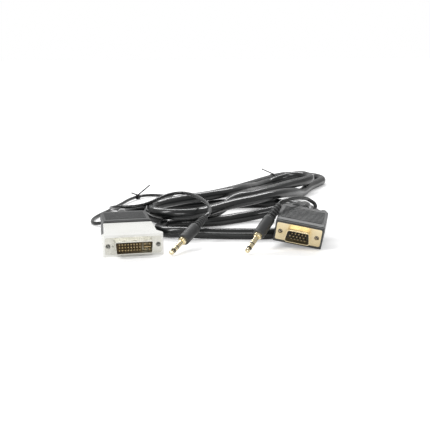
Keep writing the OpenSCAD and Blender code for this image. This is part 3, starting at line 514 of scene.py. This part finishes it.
def add_shaded_screw_slot(letter, x):
    shape = bmesh.new()
    add_bar(shape, -SLOT_L / 2, SLOT_L / 2, SLOT_FROM, SLOT_TO, -SLOT_W / 2, SLOT_W / 2, SLOT_EDGE)
    place = RIGHT_PLUG @ placed((x, 0, HOOD_ZC), 0, 0, SLOT_TILT)
    mesh_piece(f"right_screw_slot_shade_{letter}", shape, place, "plug_insert", f"right_thumbscrew_{letter}")


add_shaded_screw_slot("a", -SCREW_GAP / 2)
add_shaded_screw_slot("b", SCREW_GAP / 2)

# Lighter face of the DVI insert round the ground blade, and the spring dimples on the shell's top in a
# darker nickel that paints the shade inside them
BLADE_FACE_X0, BLADE_FACE_X1, BLADE_FACE_H, BLADE_FACE_EDGE = 5.6, 11.2, 6.8, 0.15
BLADE_FACE_OUT, BLADE_FACE_DEPTH = 0.15, 0.4
DIMPLES_X, DIMPLE_OUT, DIMPLE_RISE = (-6.5, 0.5, 7.5), 4.0, 4.2
DIMPLE_RX, DIMPLE_RY, DIMPLE_SINK, DIMPLE_PROUD = 1.3, 0.5, 0.3, 0.1


def add_blade_face():
    shape = bmesh.new()
    add_bar(shape, BLADE_FACE_X0, BLADE_FACE_X1, FRONT_Y - BLADE_FACE_OUT, FRONT_Y + BLADE_FACE_DEPTH,
            ADAPTER_ZC - BLADE_FACE_H / 2, ADAPTER_ZC + BLADE_FACE_H / 2, BLADE_FACE_EDGE)
    mesh_piece("dvi_blade_face", shape, Matrix.Identity(4), "dvi_insert", ADAPTER, look="dvi_face")


def add_dimples():
    """The bosses lie along Y as they are made, and are stood on end."""
    shape = bmesh.new()
    for x in DIMPLES_X:
        add_disc(shape, (x, DIMPLE_OUT - FRONT_Y), DIMPLE_RX, DIMPLE_RY, -DIMPLE_SINK, DIMPLE_PROUD)
    place = placed((0, 0, ADAPTER_ZC + DIMPLE_RISE), 0, 90, 0)
    mesh_piece("dvi_shell_dimples", shape, place, "nickel", ADAPTER, look="nickel_painted_shade")


add_blade_face()
add_dimples()

# Strain reliefs of the jack plugs: rounded rings that get smaller toward the lead
RELIEF_CORE_R = 1.6
LEFT_RINGS, LEFT_ROOT_R, LEFT_TIP_R = 7, 3.3, 2.3
RIGHT_RINGS, RIGHT_ROOT_R, RIGHT_TIP_R = 6, 3.5, 2.4
RING_SIDES = 32
# Shares of a ring's pitch where it leaves the core and meets it again
RING_FROM_SHARE, RING_TO_SHARE = 0.04, 0.56
# Outline between them: shares of the pitch and of the ring's radius
RING_SHARES = ((0.1, 0.93), (0.2, 1), (0.42, 1), (0.52, 0.93))


def ringed(place, name, rings, root_r, tip_r):
    step = RELIEF_L / rings
    profile = [(RELIEF_Y, RELIEF_CORE_R)]
    for i in range(rings):
        ring_r = root_r + (tip_r - root_r) * i / (rings - 1)
        y = RELIEF_Y + i * step
        profile.append((y + RING_FROM_SHARE * step, RELIEF_CORE_R))
        profile += [(y + along * step, ring_r * out) for along, out in RING_SHARES]
        profile.append((y + RING_TO_SHARE * step, RELIEF_CORE_R))
    profile.append((RELIEF_END, RELIEF_CORE_R))
    shape = bmesh.new()
    turns = [2 * pi * k / RING_SIDES for k in range(RING_SIDES)]
    add_loft(shape, [[Vector((r * cos(turn), y, r * sin(turn))) for turn in turns] for y, r in profile])
    return mesh_piece(name, shape, place, "hood_black", smooth=False)


left_relief = ringed(LEFT_JACK, "left_relief", LEFT_RINGS, LEFT_ROOT_R, LEFT_TIP_R)
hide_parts("left_jack_relief")
right_relief = ringed(RIGHT_JACK, "right_relief", RIGHT_RINGS, RIGHT_ROOT_R, RIGHT_TIP_R)
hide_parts("right_jack_relief")

# Spine between the rings of the right relief: distances from its root, and half heights there
SPINE = ((-0.4, 3.0), (5.0, 2.55), (10.0, 2.2), (RELIEF_L - 0.3, 1.75))
SPINE_EDGE_X, SPINE_MIDDLE_X = 0.7, 0.9


def add_spine():
    rings = []
    for along, r in SPINE:
        section = ((-SPINE_EDGE_X, -r), (SPINE_EDGE_X, -r), (SPINE_MIDDLE_X, 0), (SPINE_EDGE_X, r),
                   (-SPINE_EDGE_X, r), (-SPINE_MIDDLE_X, 0))
        rings.append([Vector((x, RELIEF_Y + along, z)) for x, z in section])
    shape = bmesh.new()
    add_loft(shape, rings)
    mesh_piece("right_relief_spine", shape, RIGHT_JACK, "hood_black", smooth=False)


add_spine()

# Floor, world and lamps, in metres and watts
FLOOR_REACH = 4.0
FLOOR_GREY, FLOOR_ROUGHNESS, FLOOR_SPECULAR = 0.9, 0.6, 0.2
# How much brighter the camera sees the floor by the object and far from it, and where far begins
FLOOR_LIFT, FLOOR_LIFT_FAR = 0.3, 0.75
LIFT_FROM, LIFT_TO = 0.3, 1.1
# Light of the world on the object; the camera sees it at one
WORLD_LEVEL = 0.42
# Each lamp's place, the point that it aims at, its two sizes and its power
LAMPS = {
    "key": ((-0.5, -0.1, 0.7), (0.06, 0.08, 0), (0.2, 0.5), 3.0),
    "top": ((0.2, 0.75, 0.75), (0.1, 0.12, 0), (1.3, 0.16), 7.5),
    "front": ((-0.1, -0.9, 0.5), (0.05, 0.0, 0.01), (0.6, 0.3), 3.0),
}


def camera_ray(tree):
    """One where the camera looks, else nought."""
    return tree.nodes.new("ShaderNodeLightPath").outputs["Is Camera Ray"]


def add_floor():
    mesh = bpy.data.meshes.new("floor")
    corners = [(x * FLOOR_REACH, y * FLOOR_REACH, 0) for x, y in ((-1, -1), (1, -1), (1, 1), (-1, 1))]
    mesh.from_pydata(corners, [], [(0, 1, 2, 3)])
    floor = bpy.data.objects.new("floor", mesh)
    bpy.context.scene.collection.objects.link(floor)
    mat, tree, shader = node_tree("floor")
    shader.inputs["Base Color"].default_value = (FLOOR_GREY, FLOOR_GREY, FLOOR_GREY, 1)
    shader.inputs["Roughness"].default_value = FLOOR_ROUGHNESS
    shader.inputs["Specular IOR Level"].default_value = FLOOR_SPECULAR
    shader.inputs["Emission Color"].default_value = (1, 1, 1, 1)
    place = tree.nodes.new("ShaderNodeNewGeometry")
    away = tree.nodes.new("ShaderNodeVectorMath")
    away.operation = "LENGTH"
    tree.links.new(place.outputs["Position"], away.inputs[0])
    lift = span(tree, away.outputs["Value"], FLOOR_LIFT, FLOOR_LIFT_FAR, LIFT_FROM, LIFT_TO)
    seen = tree.nodes.new("ShaderNodeMath")
    seen.operation = "MULTIPLY"
    tree.links.new(lift, seen.inputs[0])
    tree.links.new(camera_ray(tree), seen.inputs[1])
    tree.links.new(seen.outputs["Value"], shader.inputs["Emission Strength"])
    mesh.materials.append(mat)


def add_lamp(name, at, aim, size, watts):
    data = bpy.data.lights.new(name, "AREA")
    data.shape = "RECTANGLE"
    data.size, data.size_y = size
    data.energy = watts
    obj = bpy.data.objects.new(name, data)
    obj.location = at
    obj.rotation_euler = (Vector(aim) - Vector(at)).to_track_quat("-Z", "Y").to_euler()
    bpy.context.scene.collection.objects.link(obj)


def add_world():
    world = bpy.data.worlds.new("studio")
    world.use_nodes = True
    tree = world.node_tree
    back = tree.nodes["Background"]
    back.inputs["Color"].default_value = (1, 1, 1, 1)
    tree.links.new(span(tree, camera_ray(tree), WORLD_LEVEL, 1, 0, 1), back.inputs["Strength"])
    bpy.context.scene.world = world


add_floor()
add_world()
for name, (at, aim, size, watts) in LAMPS.items():
    add_lamp(name, at, aim, size, watts)
bpy.context.scene.view_settings.view_transform = "Standard"
